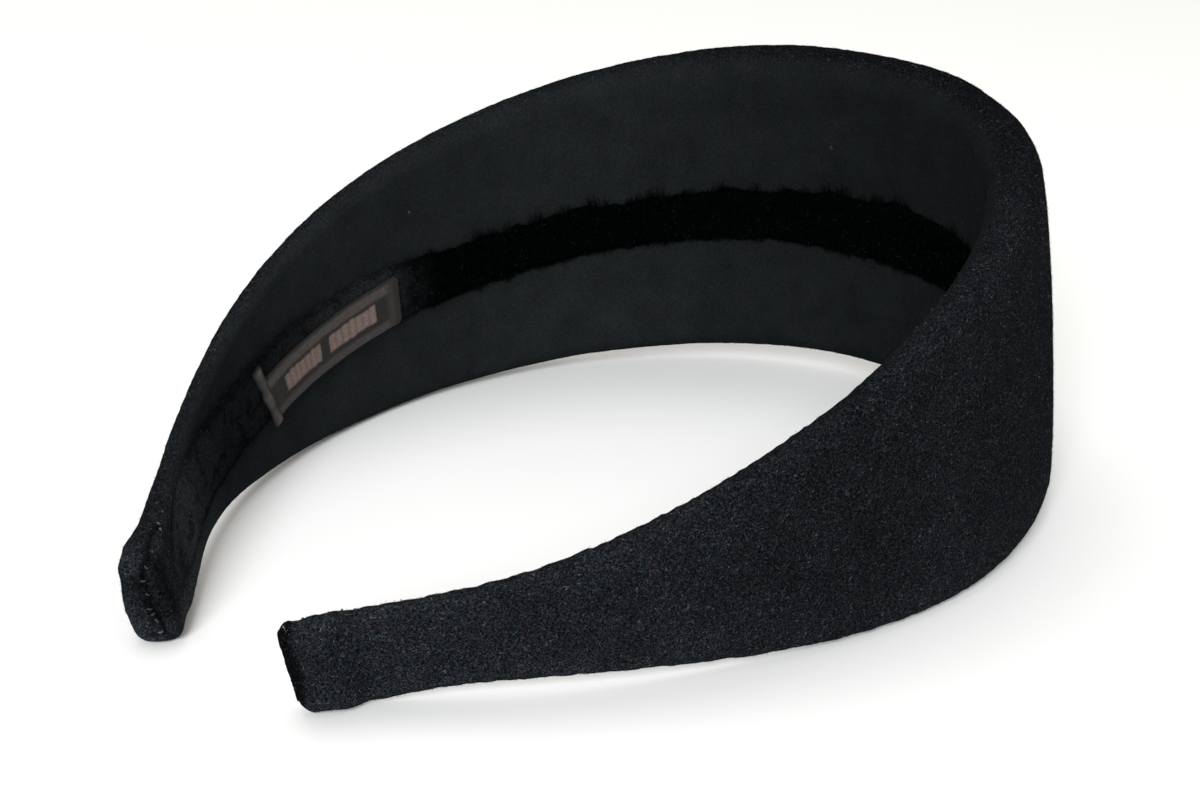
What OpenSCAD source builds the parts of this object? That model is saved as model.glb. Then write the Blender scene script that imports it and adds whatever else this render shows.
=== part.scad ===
// Padded headband: a wide felt-covered band with a pile ribbon glued along its
// inner face and a small woven label folded onto the ribbon.
// Millimetres. The band rests on its lower edge with the crown towards +X, its
// two arms towards -X and +Z up. The origin lies on the surface that it rests
// on, in the middle of the band's outline as seen from above.

/* [Band] */
// Length of the band along its middle, from tip to tip
arc_len = 380; // [320:1:430]
// Angle that each arm turns from the crown towards the other arm
arm_turn = 132.3; // [110:0.1:138]
// Width of the band at the crown
crown_w = 57.5; // [40:0.5:70]
// Width of each arm just before the turned-in tip end
neck_w = 14.2; // [12:0.1:20]
// Width of each arm at its tip end
tip_w = 13.9; // [12:0.1:22]
// Thickness of the padded band at the crown
pad_t = 10.8; // [5:0.1:14]
// Thickness of the band where it meets the turned-in tip end
tip_t = 2.6; // [2:0.1:5]
// Height of the padding's dome on the outer face at the crown
dome_h = 0.6; // [0:0.1:2]
// Angle by which the top edge of each tip leans out
tip_lean = 7.5; // [0:0.5:12]

/* [Tip ends] */
// Length of the stretch of each tip where the felt is turned in
hem_len = 9.5; // [6:0.5:14]
// How far the turned-in felt swells the outer face of the tip
hem_rise = 2.3; // [0:0.1:3]
// Length of the slope up onto the turned-in felt
hem_slope = 5; // [1:0.5:6]
// Length over which the width changes from the neck to the tip
flare_len = 12; // [4:0.5:20]
// How far the top of each end runs out past its middle
end_skew = 0.6; // [0:0.1:2]
// Radius of the rim around each end
end_round = 1.8; // [0.5:0.1:2.4]

/* [Ribbon] */
// Width of the pile ribbon
ribbon_w = 10; // [6:0.1:11]
// Thickness of the pile ribbon
ribbon_t = 0.9; // [0.5:0.1:1.6]
// How far the ribbon strays from the middle line of the band
ribbon_stray = 0.8; // [0:0.1:1.5]
// Distance from each end of the ribbon to the end of the tip
ribbon_stop = 7; // [4:0.5:20]

/* [Label] */
// Length of the label along the arm
label_len = 40; // [15:0.5:50]
// Width of the label across the arm
label_w = 8.2; // [5:0.1:10]
// Thickness of the label in its middle
label_t = 0.4; // [0.3:0.05:0.8]
// Thickness that the turned-under ends add to the label
label_fold_t = 0.4; // [0.1:0.05:0.8]
// Length of each turned-under end of the label
label_fold = 3; // [1:0.5:6]
// Distance along the arm from the label's middle to the tip
label_to_tip = 74.5; // [40:0.5:120]

/* [Clearances] */
// Gap between the felt and the ribbon glued to it
ribbon_gap = 0.15; // [0.1:0.05:0.4]
// Gap between the ribbon and the label stitched to it
label_gap = 0.15; // [0.1:0.05:0.4]

/* [Hidden] */
half_len = arc_len / 2;
felt_colour = [0.09, 0.095, 0.11];
velvet_colour = [0.02, 0.02, 0.024];
label_colour = [0.16, 0.14, 0.13];
// Least thickness that the rim leaves flat on each end of the band, and how far
// the middle of an end stands proud
end_face = 0.4;
end_dome = 0.1;

// One row for each tenth of an arm, from the crown to the tip:
// AT     share of the arm's length
// TURN   heading, as a share of arm_turn
// WIDE   width, from neck_w at 0 to crown_w at 1
// THICK  thickness, from tip_t at 0 to pad_t at 1
// LEAN   how far the top edge leans out, as a share of tip_lean
// STRAY  the ribbon's place across the band, as a share of ribbon_stray
AT = 0;
TURN = 1;
WIDE = 2;
THICK = 3;
LEAN = 4;
STRAY = 5;
arm_table = [
    [0.0, 0.000, 1.000, 1.000, -0.20, -0.5],
    [0.1, 0.182, 0.990, 0.920, -0.25, -0.8],
    [0.2, 0.347, 0.955, 0.800, -0.33, -0.7],
    [0.3, 0.477, 0.880, 0.665, -0.38, -0.1],
    [0.4, 0.585, 0.788, 0.490, -0.40, 0.4],
    [0.5, 0.681, 0.662, 0.310, -0.30, 0.5],
    [0.6, 0.774, 0.492, 0.180, 0.00, 0.2],
    [0.7, 0.855, 0.293, 0.105, 0.30, 0.1],
    [0.8, 0.927, 0.102, 0.045, 0.55, 0.4],
    [0.9, 1.000, 0.000, 0.010, 0.90, 0.7],
    [1.0, 1.000, 0.000, 0.000, 1.00, 0.8]
];

// Steps along one arm, around one rolled edge, across one face, around the rim
// of an end and along half the label
arm_steps = 50;
roll_steps = 8;
face_steps = 4;
rim_steps = 5;
label_steps = 12;

// Cubic curve through a column of the table. It is level at each highest and
// lowest row and, but for the heading, at the crown.
function row_at(u, i = 0) = i >= len(arm_table) - 2 || u < arm_table[i + 1][AT] ? i : row_at(u, i + 1);
function rise(col, i, j) = (arm_table[j][col] - arm_table[i][col]) / (arm_table[j][AT] - arm_table[i][AT]);
function slope(col, i) =
    i == 0 ? (col == TURN ? rise(col, 0, 1) : 0)
    : i == len(arm_table) - 1 ? rise(col, i - 1, i)
    : rise(col, i - 1, i) * rise(col, i, i + 1) <= 0 ? 0
    : rise(col, i - 1, i + 1);
function column(col, s) =
    let (
        u = s / half_len,
        i = row_at(u),
        span = arm_table[i + 1][AT] - arm_table[i][AT],
        t = (u - arm_table[i][AT]) / span,
        t2 = t * t,
        t3 = t2 * t
    )
    (2 * t3 - 3 * t2 + 1) * arm_table[i][col] + (t3 - 2 * t2 + t) * span * slope(col, i)
    + (3 * t2 - 2 * t3) * arm_table[i + 1][col] + (t3 - t2) * span * slope(col, i + 1);

// Soft step from 0 at a to 1 at b
function ease(a, b, x) = let (t = min(1, max(0, (x - a) / (b - a)))) t * t * (3 - 2 * t);

// Form of the band at distance s from the crown
hem_from = half_len - hem_len;
flare_from = hem_from - flare_len;
function heading(s) = arm_turn * column(TURN, s);
function half_width(s) =
    (neck_w + (crown_w - neck_w) * column(WIDE, s) + (tip_w - neck_w) * ease(flare_from, hem_from, s)) / 2;
function half_thick(s) = (tip_t + (pad_t - tip_t) * column(THICK, s)) / 2;
function dome(s) = dome_h * column(WIDE, s);
function hem(s) = hem_rise * ease(hem_from, hem_from + hem_slope, s);
function lean(s) = tip_lean * column(LEAN, s);
function skew(s) = end_skew * ease(flare_from, half_len, s);
function ribbon_mid(s) = ribbon_stray * column(STRAY, s);

// The rim round each end is limited by the thickness there. It pulls the section
// in by this much at distance s from the crown
rim_r = min(end_round, half_thick(half_len) + hem_rise / 2 - end_face / 2);
function rim_inset(s) =
    let (t = min(1, max(0, s - (half_len - rim_r)) / rim_r)) rim_r * (1 - sqrt(1 - t * t));

// Distances of the band's sections from the crown, closer together round the rim
main_len = half_len - rim_r;
arm_s = concat(
    [for (i = [0:arm_steps]) main_len * i / arm_steps],
    [for (i = [1:rim_steps]) main_len + rim_r * sin(90 * i / rim_steps)]
);

// Middle line of an arm in plan: each step runs along the heading half way
function step_of(list, i) =
    let (s = list[i + 1] - list[i], a = heading((list[i] + list[i + 1]) / 2)) s * [-sin(a), cos(a)];
function walk(list) = [
    for (i = 0, p = [0, 0]; i < len(list); p = i + 1 < len(list) ? p + step_of(list, i) : p, i = i + 1) p
];
arm_path = walk(arm_s);

// Point on the middle line at distance s from the crown
function place(s, i = 0) =
    i >= len(arm_s) - 2 || s < arm_s[i + 1]
    ? let (ds = s - arm_s[i], a = heading(arm_s[i] + ds / 2)) arm_path[i] + ds * [-sin(a), cos(a)]
    : place(s, i + 1);

// Point at distance s along the arm on one side, out from the middle line by
// o and up by h, before the band is laid down
function spot(s, side, o, h) =
    let (
        a = heading(s),
        p = place(s),
        out = o + h * tan(lean(s)),
        on = skew(s) * h / half_width(s)
    )
    [p[0] + out * cos(a) - on * sin(a), side * (p[1] + out * sin(a) + on * cos(a)), h];

// Section of the band: two faces joined by rolled edges, as [out, up] pairs
function band_section(s) =
    let (
        mid = hem(s) / 2,
        a = half_thick(s) + mid - rim_inset(s),
        b = half_width(s) - rim_inset(s),
        r = min(a, b),
        flat = b - r,
        swell = dome(s)
    )
    concat(
        [for (k = [0:roll_steps]) let (t = 180 * k / roll_steps) [mid + a * cos(t), flat + r * sin(t)]],
        [for (k = [1:face_steps - 1]) [mid - a, flat * (1 - 2 * k / face_steps)]],
        [for (k = [0:roll_steps]) let (t = 180 * k / roll_steps) [mid - a * cos(t), -flat - r * sin(t)]],
        [for (k = [1:face_steps - 1])
            let (v = 2 * k / face_steps - 1) [mid + a + swell * (1 - v * v), flat * v]]
    );

// Section of a flat strip on the band's inner face, as [out, up] pairs: its
// back lies gap from the felt, its front corners are bevelled
function strip_section(s, gap, thick, wide, mid) =
    let (
        back = -half_thick(s) - gap,
        front = back - thick,
        bevel = thick / 2,
        w = wide / 2
    )
    [
        [back, mid + w], [front + bevel, mid + w], [front, mid + w - bevel],
        [front, mid - w + bevel], [front + bevel, mid - w], [back, mid - w]
    ];

// Pose at rest: the band is turned about Y until the arms near the crown and
// the two tips touch the same level surface
function low_spot(s) = spot(s, 1, 0, rim_inset(s) - half_width(s));
arm_lows = [for (s = arm_s) if (s < half_len / 2) low_spot(s)];
tip_lows = [for (s = arm_s) if (s > hem_from) low_spot(s)];
rest_tilt = max([for (p = arm_lows) min([for (q = tip_lows) atan2(q[2] - p[2], p[0] - q[0])])]);
function laid(p) =
    [p[0] * cos(rest_tilt) - p[2] * sin(rest_tilt), p[1], p[0] * sin(rest_tilt) + p[2] * cos(rest_tilt)];
arm_skin = [for (s = arm_s) for (q = band_section(s)) laid(spot(s, 1, q[0], q[1]))];
low_z = min([for (p = arm_skin) p[2]]);
mid_x = (min([for (p = arm_skin) p[0]]) + max([for (p = arm_skin) p[0]])) / 2;

module at_rest() {
    translate([-mid_x, 0, -low_z])
        rotate([0, -rest_tilt, 0])
            children();
}

// Closed skin through a row of sections that all have the same number of points.
// Each end is a fan round a middle point that stands proud by end_dome.
function middle(ring) = [for (i = [0:2]) sum([for (p = ring) p[i]]) / len(ring)];
function sum(list, i = 0) = i == len(list) ? 0 : list[i] + sum(list, i + 1);
function end_point(ring, next) =
    let (m = middle(ring), d = m - middle(next)) m + end_dome * d / norm(d);
module skin(rings) {
    n = len(rings[0]);
    last = (len(rings) - 1) * n;
    hub = last + n;
    polyhedron(
        points = concat(
            [for (ring = rings) each ring],
            [end_point(rings[0], rings[1])],
            [end_point(rings[len(rings) - 1], rings[len(rings) - 2])]
        ),
        faces = concat(
            [for (k = [0:n - 1]) [hub, (k + 1) % n, k]],
            [for (i = [0:len(rings) - 2]) for (k = [0:n - 1])
                let (a = i * n + k, b = i * n + (k + 1) % n) each [[a, b, a + n], [b, b + n, a + n]]],
            [for (k = [0:n - 1]) [hub + 1, last + k, last + (k + 1) % n]]
        ),
        convexity = 8
    );
}

// Places along the whole band, from the tip at -Y to the tip at +Y, as
// [distance from the crown, side] pairs
function both_arms(list) = concat(
    [for (i = [len(list) - 1:-1:1]) [list[i], -1]],
    [for (s = list) [s, 1]]
);

// The padded band, felt outside and inside
module felt_band() {
    color(felt_colour)
        at_rest()
            skin([for (p = both_arms(arm_s)) [for (q = band_section(p[0])) spot(p[0], p[1], q[0], q[1])]]);
}

// The pile ribbon along the inner face, from tip to tip round the crown
module velvet_ribbon() {
    stop = half_len - ribbon_stop;
    ribbon_s = concat([for (s = arm_s) if (s < stop - 1) s], [stop]);
    color(velvet_colour)
        at_rest()
            skin([for (p = both_arms(ribbon_s))
                [for (q = strip_section(p[0], ribbon_gap, ribbon_t, ribbon_w, ribbon_mid(p[0])))
                    spot(p[0], p[1], q[0], q[1])]]);
}

// The label on the ribbon of the arm at +Y, thicker where its ends are turned
// under and stitched
module woven_label() {
    mid_s = half_len - label_to_tip;
    seat = ribbon_gap + ribbon_t + label_gap;
    inner = label_len / 2 - label_fold;
    color(label_colour)
        at_rest()
            skin([for (i = [-label_steps:label_steps])
                let (
                    off = label_len / 2 * i / label_steps,
                    s = mid_s + off,
                    thick = label_t + label_fold_t * ease(inner, label_len / 2, abs(off))
                )
                [for (q = strip_section(s, seat, thick, label_w, ribbon_mid(s))) spot(s, 1, q[0], q[1])]]);
}

felt_band();
velvet_ribbon();
woven_label();
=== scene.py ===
import math
import bpy
import numpy as np
from mathutils import Matrix

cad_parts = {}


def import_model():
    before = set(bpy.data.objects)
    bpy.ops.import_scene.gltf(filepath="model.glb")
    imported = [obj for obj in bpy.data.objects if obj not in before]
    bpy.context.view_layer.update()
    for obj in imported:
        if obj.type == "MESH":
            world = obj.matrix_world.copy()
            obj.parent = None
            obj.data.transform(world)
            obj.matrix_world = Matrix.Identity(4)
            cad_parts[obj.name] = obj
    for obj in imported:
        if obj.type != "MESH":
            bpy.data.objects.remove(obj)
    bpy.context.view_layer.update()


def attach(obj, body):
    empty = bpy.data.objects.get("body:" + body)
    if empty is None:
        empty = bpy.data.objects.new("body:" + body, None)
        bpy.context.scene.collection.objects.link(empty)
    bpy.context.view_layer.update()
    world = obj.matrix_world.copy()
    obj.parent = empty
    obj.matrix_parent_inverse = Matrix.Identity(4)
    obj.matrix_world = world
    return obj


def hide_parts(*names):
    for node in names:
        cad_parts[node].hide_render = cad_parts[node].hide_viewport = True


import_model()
MM = 0.001

# Sizes of the part, in millimetres, as its source has them
HALF_LEN = 190.0
LAST_S = HALF_LEN - 1e-6
ARM_TURN = 132.3
CROWN_W, NECK_W, TIP_W = 57.5, 14.2, 13.9
PAD_T, TIP_T, DOME_H = 10.8, 2.6, 0.6
TIP_LEAN = 7.5
HEM_LEN, HEM_RISE, HEM_SLOPE = 9.5, 2.3, 5.0
FLARE_LEN, END_SKEW, END_ROUND = 12.0, 0.6, 1.8
RIBBON_T, RIBBON_STOP = 0.9, 7.0
GAP = 0.15
# The band's tilt at rest, in degrees, and where the frame's origin lies in the tilted band
REST_TILT = 10.221
ORIGIN = np.array([-70.241, 0.0, -33.117])
# One row for each tenth of an arm: share of its length, then of its turn, width, thickness and lean
AT, TURN, WIDE, THICK, LEAN = range(5)
ARM = np.array([
    [0.0, 0.000, 1.000, 1.000, -0.20],
    [0.1, 0.182, 0.990, 0.920, -0.25],
    [0.2, 0.347, 0.955, 0.800, -0.33],
    [0.3, 0.477, 0.880, 0.665, -0.38],
    [0.4, 0.585, 0.788, 0.490, -0.40],
    [0.5, 0.681, 0.662, 0.310, -0.30],
    [0.6, 0.774, 0.492, 0.180, 0.00],
    [0.7, 0.855, 0.293, 0.105, 0.30],
    [0.8, 0.927, 0.102, 0.045, 0.55],
    [0.9, 1.000, 0.000, 0.010, 0.90],
    [1.0, 1.000, 0.000, 0.000, 1.00],
])


# The band's form: s runs along an arm from the crown, o outwards, h upwards
def column(col, s):
    x, y = ARM[:, AT], ARM[:, col]
    step = np.diff(y) / np.diff(x)
    m = np.empty(len(x))
    m[1:-1] = np.where(step[1:] * step[:-1] <= 0, 0, (y[2:] - y[:-2]) / (x[2:] - x[:-2]))
    m[-1] = step[-1]
    m[0] = step[0] if col == TURN else 0
    u = np.asarray(s, float) / HALF_LEN
    i = np.clip(np.searchsorted(x, u, side="right") - 1, 0, len(x) - 2)
    d = x[i + 1] - x[i]
    t = (u - x[i]) / d
    return ((2 * t**3 - 3 * t**2 + 1) * y[i] + (t**3 - 2 * t**2 + t) * d * m[i]
            + (3 * t**2 - 2 * t**3) * y[i + 1] + (t**3 - t**2) * d * m[i + 1])


def ease(a, b, x):
    t = np.clip((np.asarray(x, float) - a) / (b - a), 0, 1)
    return t * t * (3 - 2 * t)


HEM_FROM = HALF_LEN - HEM_LEN
FLARE_FROM = HEM_FROM - FLARE_LEN


def heading(s):
    return np.radians(ARM_TURN * column(TURN, s))


def half_width(s):
    return (NECK_W + (CROWN_W - NECK_W) * column(WIDE, s)
            + (TIP_W - NECK_W) * ease(FLARE_FROM, HEM_FROM, s)) / 2


def half_thick(s):
    return (TIP_T + (PAD_T - TIP_T) * column(THICK, s)) / 2


def hem(s):
    return HEM_RISE * ease(HEM_FROM, HEM_FROM + HEM_SLOPE, s)


# An arm's middle line, added up in steps of a tenth of a millimetre
PATH_S = np.linspace(0, HALF_LEN, 1901)
path_turn = heading((PATH_S[1:] + PATH_S[:-1]) / 2)
path_step = np.diff(PATH_S)
PATH = np.vstack([[0, 0], np.cumsum(
    np.c_[-np.sin(path_turn) * path_step, np.cos(path_turn) * path_step], axis=0)])


def world(s, side, o, h):
    """Points of the frame, in metres, from places on an arm in millimetres; side is 1 or -1."""
    s, side, o, h = np.broadcast_arrays(
        np.asarray(s, float), np.asarray(side, float), np.asarray(o, float), np.asarray(h, float))
    px, py = np.interp(s, PATH_S, PATH[:, 0]), np.interp(s, PATH_S, PATH[:, 1])
    a = heading(s)
    out = o + h * np.tan(np.radians(TIP_LEAN * column(LEAN, s)))
    on = END_SKEW * ease(FLARE_FROM, HALF_LEN, s) * h / half_width(s)
    x = px + out * np.cos(a) - on * np.sin(a)
    y = side * (py + out * np.sin(a) + on * np.cos(a))
    t = math.radians(REST_TILT)
    w = np.stack([x * math.cos(t) - h * math.sin(t), y, x * math.sin(t) + h * math.cos(t)], -1)
    return (w - ORIGIN) * MM


# Smooth noise of the scene's own, the same on each run
class Noise:
    SIZE = 64

    def __init__(self, seed):
        self.g = np.random.default_rng(seed).random((self.SIZE,) * 3) * 2 - 1

    def __call__(self, p):
        i = np.floor(p).astype(int)
        f = p - i
        f = f * f * (3 - 2 * f)
        out = 0
        for corner in np.ndindex(2, 2, 2):
            w = 1
            for axis, d in enumerate(corner):
                w = w * (f[..., axis] if d else 1 - f[..., axis])
            out = out + w * self.g[tuple((i[..., axis] + d) % self.SIZE for axis, d in enumerate(corner))]
        return out


def coords(x, y, z):
    return np.stack(np.broadcast_arrays(x, y, z), -1)


def mesh_object(name, verts, loops, starts, mat, smooth=True):
    """A mesh from arrays: loops holds all faces' corners, starts where each face's begin."""
    me = bpy.data.meshes.new(name)
    me.vertices.add(len(verts))
    me.vertices.foreach_set("co", np.ascontiguousarray(verts, np.float32).ravel())
    me.loops.add(len(loops))
    me.loops.foreach_set("vertex_index", np.ascontiguousarray(loops, np.int32))
    me.polygons.add(len(starts))
    me.polygons.foreach_set("loop_start", np.ascontiguousarray(starts, np.int32))
    me.polygons.foreach_set("use_smooth", np.full(len(starts), smooth))
    me.update(calc_edges=True)
    me.validate()
    o = bpy.data.objects.new(name, me)
    bpy.context.scene.collection.objects.link(o)
    me.materials.append(mat)
    return o


def attribute(o, name, values):
    a = o.data.attributes.new(name, "FLOAT", "POINT")
    a.data.foreach_set("value", np.ascontiguousarray(values, np.float32).ravel())


def grid_faces(n, m, closed):
    """Corners of the quads of an n by m grid whose rows close on themselves if asked."""
    i = np.arange(n - 1)[:, None] * m
    k = np.arange(m if closed else m - 1)[None, :]
    k2 = (k + 1) % m
    return np.stack([i + k, i + k2, i + m + k2, i + m + k], -1).reshape(-1, 4)


def tube_faces(n, m):
    """Corners and starts of the faces of n rings of m points, with a flat cap on each end."""
    q = grid_faces(n, m, True)
    k = np.arange(m)
    loops = np.concatenate([q.ravel(), k[::-1], (n - 1) * m + k])
    return loops, np.concatenate([np.arange(len(q)) * 4, [len(q) * 4, len(q) * 4 + m]])


# Materials
def new_material(name):
    m = bpy.data.materials.new(name)
    m.use_nodes = True
    return m, m.node_tree.nodes, m.node_tree.links, m.node_tree.nodes["Principled BSDF"]


def attribute_node(nodes, name):
    n = nodes.new("ShaderNodeAttribute")
    n.attribute_name = name
    return n


def noise_node(nodes, links, coord, scale, detail=2.0, rough=0.6, distortion=0.0):
    n = nodes.new("ShaderNodeTexNoise")
    n.inputs["Scale"].default_value = scale
    n.inputs["Detail"].default_value = detail
    n.inputs["Roughness"].default_value = rough
    n.inputs["Distortion"].default_value = distortion
    links.new(coord, n.inputs["Vector"])
    return n


def ramp_node(nodes, links, fac, stops):
    r = nodes.new("ShaderNodeValToRGB")
    e = r.color_ramp.elements
    while len(e) < len(stops):
        e.new(0.5)
    for el, (pos, col) in zip(e, stops):
        el.position = pos
        el.color = (*col, 1) if hasattr(col, "__len__") else (col, col, col, 1)
    links.new(fac, r.inputs["Fac"])
    return r


def mix_node(nodes, links, kind, fac, a, b):
    n = nodes.new("ShaderNodeMix")
    n.data_type = "RGBA"
    n.blend_type = kind
    for sock, v in ((n.inputs["Factor"], fac), (n.inputs["A"], a), (n.inputs["B"], b)):
        if hasattr(v, "is_linked") or hasattr(v, "links"):
            links.new(v, sock)
        elif hasattr(v, "__len__"):
            sock.default_value = (*v, 1)
        else:
            sock.default_value = v
    return n.outputs["Result"]


def add_bump(nodes, links, bsdf, height, strength, distance):
    n = nodes.new("ShaderNodeBump")
    n.inputs["Strength"].default_value = strength
    n.inputs["Distance"].default_value = distance
    links.new(height, n.inputs["Height"])
    links.new(n.outputs["Normal"], bsdf.inputs["Normal"])


def felt_material():
    """Open grain with pale flecks outside, calmer where the mesh says inner, both times its tone, which carries
    painted light and shade.
    """
    m, nodes, links, bsdf = new_material("wool_felt")
    co = nodes.new("ShaderNodeTexCoord").outputs["Object"]
    inner, tone = attribute_node(nodes, "inner"), attribute_node(nodes, "tone")
    grain = noise_node(nodes, links, co, 4000, 1.5, 0.7, 0.8)
    flecks = noise_node(nodes, links, co, 2500, 1.0, 0.5, 1.5)
    hues = noise_node(nodes, links, co, 1500, 1.0, 0.5)
    cloudy = noise_node(nodes, links, co, 170, 3, 0.6)
    base = ramp_node(nodes, links, grain.outputs["Fac"], [
        (0.34, (0.0014, 0.0017, 0.0021)), (0.50, (0.0056, 0.0062, 0.0075)), (0.68, (0.0206, 0.0221, 0.0258))])
    calm = ramp_node(nodes, links, grain.outputs["Fac"], [
        (0.34, (0.0052, 0.0062, 0.0067)), (0.66, (0.0104, 0.0119, 0.0128))])
    fleck = ramp_node(nodes, links, flecks.outputs["Fac"], [(0.64, 0.0), (0.76, 1.0)])
    lit = mix_node(nodes, links, "MIX", fleck.outputs["Color"], base.outputs["Color"], (0.056, 0.059, 0.066))
    c = mix_node(nodes, links, "MIX", inner.outputs["Fac"], lit, calm.outputs["Color"])
    tint = ramp_node(nodes, links, hues.outputs["Fac"], [
        (0.36, (1.09, 0.97, 1.00)), (0.50, (0.99, 1.01, 1.0)), (0.64, (0.86, 1.05, 1.07))])
    c = mix_node(nodes, links, "MULTIPLY", 1.0, c, tint.outputs["Color"])
    shade = ramp_node(nodes, links, cloudy.outputs["Fac"], [(0.3, 0.84), (0.7, 1.14)])
    c = mix_node(nodes, links, "MULTIPLY", 1.0, c, shade.outputs["Color"])
    c = mix_node(nodes, links, "MULTIPLY", 1.0, c, tone.outputs["Color"])
    links.new(c, bsdf.inputs["Base Color"])
    rough = nodes.new("ShaderNodeMapRange")
    rough.inputs["To Min"].default_value = 0.82
    rough.inputs["To Max"].default_value = 1.0
    links.new(grain.outputs["Fac"], rough.inputs["Value"])
    links.new(rough.outputs["Result"], bsdf.inputs["Roughness"])
    bsdf.inputs["Specular IOR Level"].default_value = 0.0
    bsdf.inputs["Sheen Weight"].default_value = 0.003
    bsdf.inputs["Sheen Roughness"].default_value = 0.5
    bsdf.inputs["Sheen Tint"].default_value = (0.62, 0.68, 0.76, 1)
    add_bump(nodes, links, bsdf, grain.outputs["Fac"], 0.35, 0.00009)
    return m


def fibre_material(name, dark, light):
    """Dull fibres or thread, from dark to light by the mesh's shade."""
    m, nodes, links, bsdf = new_material(name)
    r = ramp_node(nodes, links, attribute_node(nodes, "shade").outputs["Fac"], [(0.0, dark), (1.0, light)])
    links.new(r.outputs["Color"], bsdf.inputs["Base Color"])
    bsdf.inputs["Roughness"].default_value = 0.8
    bsdf.inputs["Specular IOR Level"].default_value = 0.0
    return m


def velvet_material():
    """Near-black pile with a painted sheen: paler in patches as far as the mesh's attribute for it says."""
    m, nodes, links, bsdf = new_material("pile_velvet")
    co = nodes.new("ShaderNodeTexCoord").outputs["Object"]
    pile = noise_node(nodes, links, co, 2800, 2, 0.7, 0.6)
    patch = noise_node(nodes, links, co, 300, 3, 0.7, 0.5)
    deep = ramp_node(nodes, links, pile.outputs["Fac"], [
        (0.35, (0.0001, 0.0002, 0.0002)), (0.75, (0.0010, 0.0014, 0.0013))])
    # the pale colour of the painted sheen
    sheen_on_nap = ramp_node(nodes, links, pile.outputs["Fac"], [
        (0.35, (0.0128, 0.0146, 0.0162)), (0.67, (0.0480, 0.0540, 0.0600))])
    patchy = ramp_node(nodes, links, patch.outputs["Fac"], [(0.36, 0.35), (0.50, 1.0)])
    f = nodes.new("ShaderNodeMath")
    f.operation = "MULTIPLY"
    links.new(attribute_node(nodes, "pile_sheen").outputs["Fac"], f.inputs[0])
    links.new(patchy.outputs["Color"], f.inputs[1])
    c = mix_node(nodes, links, "MIX", f.outputs["Value"], deep.outputs["Color"], sheen_on_nap.outputs["Color"])
    links.new(c, bsdf.inputs["Base Color"])
    bsdf.inputs["Roughness"].default_value = 0.95
    bsdf.inputs["Specular IOR Level"].default_value = 0.0
    add_bump(nodes, links, bsdf, patch.outputs["Fac"], 0.6, 0.0003)
    return m


def label_material():
    """Woven tape: warp and weft threads, with paler threads where the mesh's masks say."""
    m, nodes, links, bsdf = new_material("woven_tape_threads")
    co = nodes.new("ShaderNodeTexCoord").outputs["Object"]

    def value(name):
        return attribute_node(nodes, name).outputs["Fac"]

    def math_node(op, x, y=None):
        n = nodes.new("ShaderNodeMath")
        n.operation = op
        links.new(x, n.inputs[0])
        if isinstance(y, float):
            n.inputs[1].default_value = y
        elif y is not None:
            links.new(y, n.inputs[1])
        return n.outputs["Value"]

    warp_per_mm, weft_per_mm = 3.0, 3.4
    warp = math_node("SINE", math_node("MULTIPLY", value("along"), warp_per_mm * 2 * math.pi))
    weft = math_node("SINE", math_node("MULTIPLY", value("across"), weft_per_mm * 2 * math.pi))
    q = nodes.new("ShaderNodeMapRange")
    q.inputs["From Min"].default_value = -1
    q.inputs["From Max"].default_value = 1
    links.new(math_node("MULTIPLY", warp, weft), q.inputs["Value"])
    fuzz = noise_node(nodes, links, co, 2600, 2, 0.6)
    weave = mix_node(nodes, links, "MIX", 0.6, q.outputs["Result"], fuzz.outputs["Fac"])
    ground = ramp_node(nodes, links, weave, [(0.3, (0.009, 0.0088, 0.0086)), (0.7, (0.027, 0.0255, 0.0245))])
    frame_c = ramp_node(nodes, links, weave, [(0.3, (0.034, 0.029, 0.028)), (0.7, (0.084, 0.072, 0.069))])
    bar_c = ramp_node(nodes, links, weave, [(0.3, (0.098, 0.069, 0.062)), (0.7, (0.216, 0.158, 0.138))])
    c = mix_node(nodes, links, "MIX", value("edging"), ground.outputs["Color"], frame_c.outputs["Color"])
    c = mix_node(nodes, links, "MIX", value("bars"), c, bar_c.outputs["Color"])
    links.new(c, bsdf.inputs["Base Color"])
    bsdf.inputs["Roughness"].default_value = 0.8
    bsdf.inputs["Specular IOR Level"].default_value = 0.08
    bsdf.inputs["Sheen Weight"].default_value = 0.02
    add_bump(nodes, links, bsdf, weave, 0.6, 0.00012)
    return m


# The felt cover: a fine closed skin over both faces, the rolled edges and the tips
ROLL_N, FACE_N = 28, 32


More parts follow.
